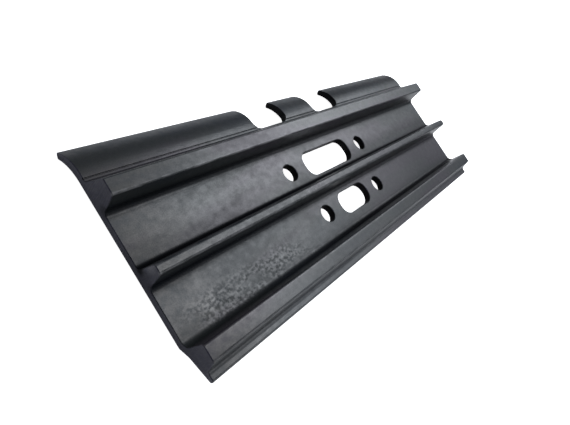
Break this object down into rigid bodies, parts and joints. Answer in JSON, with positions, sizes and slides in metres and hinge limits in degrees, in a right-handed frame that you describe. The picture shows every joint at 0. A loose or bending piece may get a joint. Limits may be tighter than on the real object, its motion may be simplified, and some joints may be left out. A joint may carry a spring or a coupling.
{
  "type": "excavator track shoe",
  "caption": "Rolled steel crawler track shoe: a long plate with three grouser ribs, a curled leading lip with two notches, a raised tail, mud slots and bolt holes.",
  "frame": {"origin": "middle of the four-bolt pattern, on the flat face that the track links are bolted to", "axes": "+X along the shoe, +Y towards the curled leading lip, +Z away from the links, towards the grouser tips"},
  "size_m": [0.6, 0.225, 0.0472],
  "materials": {
    "rolled_steel": "satin"
  },
  "bodies": {
    "root": {"track_shoe": "rolled_steel"}
  },
  "joints": []
}
